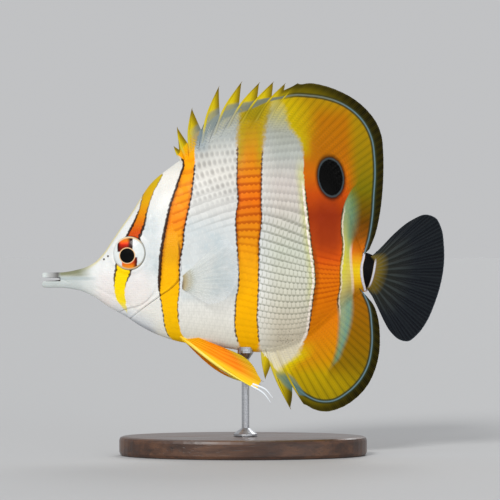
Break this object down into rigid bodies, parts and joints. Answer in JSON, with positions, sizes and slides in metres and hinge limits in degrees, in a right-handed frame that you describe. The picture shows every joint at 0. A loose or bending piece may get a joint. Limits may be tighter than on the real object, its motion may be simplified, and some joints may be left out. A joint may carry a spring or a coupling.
{
  "type": "fish figure on a display stand",
  "caption": "Life-size still model of a copperband butterflyfish, a deep flat reef fish with a long snout, fins spread, held over an oval base by a short rod.",
  "frame": {"origin": "middle of the model's bounding box, on the underside of the stand's base", "axes": "the snout points along -X and the tail along +X, the back along +Z, the left flank along -Y and the right flank along +Y"},
  "size_m": [0.1693, 0.06, 0.1571],
  "materials": {
    "pale_skin": "satin, silvery white with orange bands",
    "lip_skin": "satin",
    "eye_gloss": "high gloss",
    "yellow_fin": "satin",
    "smoky_fin": "satin",
    "clear_fin": "clear satin",
    "base_wood": "dark, waxed",
    "rod_steel": "satin"
  },
  "bodies": {
    "root": {"head": "pale_skin", "trunk": "pale_skin", "tail_base": "pale_skin", "jaw_upper": "lip_skin", "jaw_lower": "lip_skin", "eye_left": "eye_gloss", "eye_right": "eye_gloss", "dorsal_fin_soft": "yellow_fin", "dorsal_fin_spiny": "yellow_fin", "anal_fin_soft": "yellow_fin", "anal_fin_spiny": "yellow_fin", "caudal_fin": "smoky_fin", "pectoral_fin_left": "clear_fin", "pectoral_fin_right": "clear_fin", "pelvic_fin_left": "yellow_fin", "pelvic_fin_right": "yellow_fin", "stand_base": "base_wood", "stand_rod": "rod_steel"}
  },
  "joints": []
}
